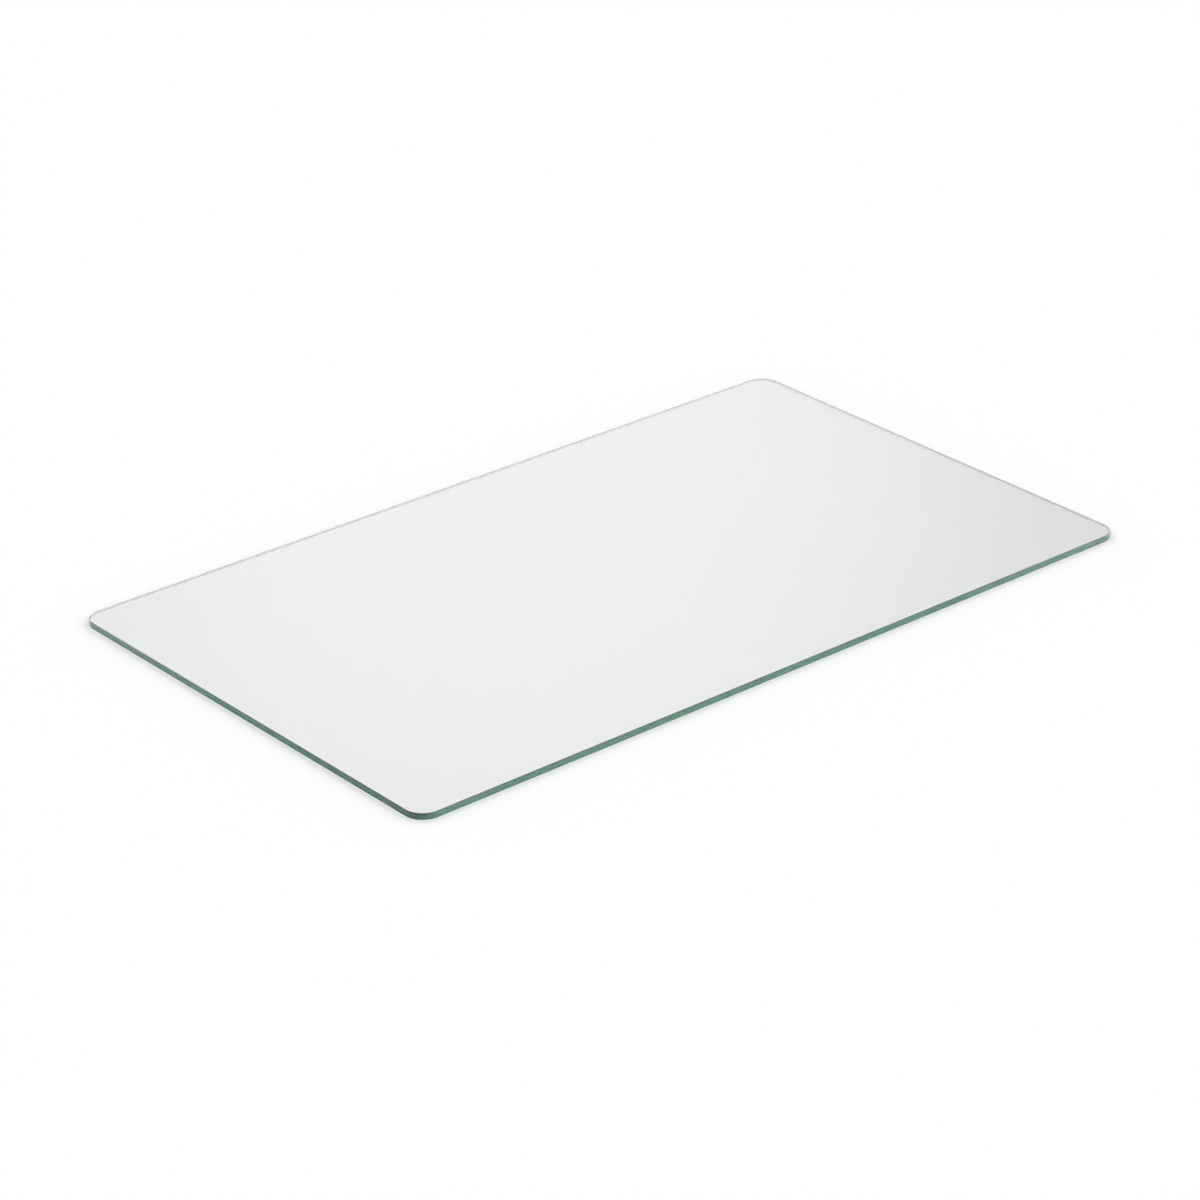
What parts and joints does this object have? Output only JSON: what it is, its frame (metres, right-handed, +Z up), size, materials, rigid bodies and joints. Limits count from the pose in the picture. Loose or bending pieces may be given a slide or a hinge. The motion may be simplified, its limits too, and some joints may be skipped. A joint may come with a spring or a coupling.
{
  "type": "refrigerator glass shelf",
  "caption": "Clear toughened glass refrigerator shelf: flat rectangular pane with rounded corners and a flat-ground green edge, laid on the ledges of the cabinet.",
  "frame": {"origin": "centre of the underside", "axes": "+X along the long front edge to the right, +Y to the back of the cabinet, +Z up through the pane"},
  "size_m": [0.51, 0.3, 0.004],
  "materials": {
    "clear_float_glass": "clear toughened float glass with polished faces and a satin, flat-ground, arrissed edge that reads green"
  },
  "bodies": {
    "root": {"glass_shelf": "clear_float_glass"}
  },
  "joints": []
}
